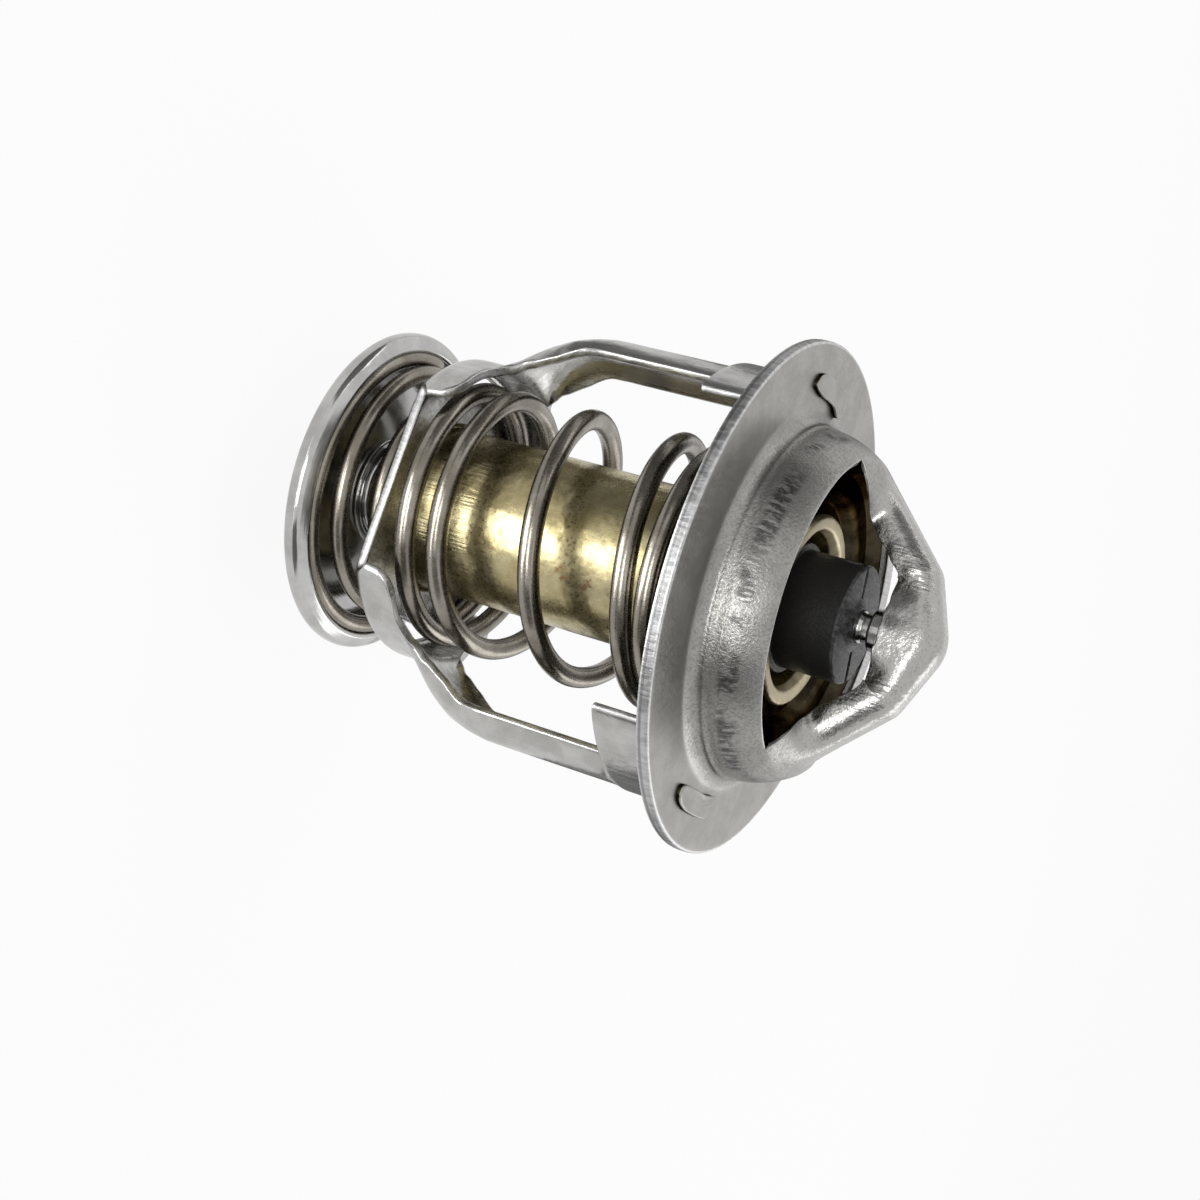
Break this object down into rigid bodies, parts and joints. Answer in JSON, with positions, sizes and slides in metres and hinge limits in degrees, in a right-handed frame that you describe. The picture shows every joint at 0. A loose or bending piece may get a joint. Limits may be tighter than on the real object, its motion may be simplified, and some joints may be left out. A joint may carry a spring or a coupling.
{
  "type": "engine thermostat",
  "caption": "Wax-element engine thermostat with a flanged dome, pressed bridge, spring-loaded main valve, gutter-legged frame and a sprung bypass disc.",
  "frame": {"origin": "on the axis, at the flange's underside, where it sits on its housing seat", "axes": "+Z along the axis towards the bridge; the bridge and the frame's legs lie along Y"},
  "size_m": [0.056, 0.056, 0.07],
  "materials": {
    "pressed_steel": "pressed stainless sheet, fine grain with bright rubbed edges",
    "spring_steel": "drawn wire, warm grey with a lengthwise sheen",
    "polished_steel": "polished",
    "dark_steel": "dark brown oxidised sheet",
    "capsule_brass": "olive brass with brown stains and light dents",
    "black_plastic": "matte black moulding",
    "white_plastic": "smooth, hidden inside",
    "black_rubber": "moulded, hidden inside",
    "wax_charge": "filled wax, hidden inside"
  },
  "bodies": {
    "root": {"valve_body": "pressed_steel", "frame": "pressed_steel", "pin": "polished_steel", "main_spring": "spring_steel"},
    "element": {"capsule": "capsule_brass", "guide": "black_plastic", "backup_ring": "white_plastic", "rubber_sleeve": "black_rubber", "wax": "wax_charge", "main_valve": "dark_steel", "stem": "polished_steel", "stem_washer": "spring_steel", "bypass_spring": "spring_steel"},
    "bypass": {"bypass_valve": "polished_steel"}
  },
  "joints": [
    {"name": "element_slide", "type": "slide", "parent": "root", "child": "element", "axis": [0, 0, -1], "range_m": [0, 0.009], "stiffness_N_per_m": 5000, "springref_m": -0.012, "deforming": ["main_spring"]},
    {"name": "bypass_slide", "type": "slide", "parent": "element", "child": "bypass", "axis": [0, 0, 1], "range_m": [0, 0.0025], "stiffness_N_per_m": 1000, "springref_m": -0.008, "deforming": ["bypass_spring"]}
  ]
}
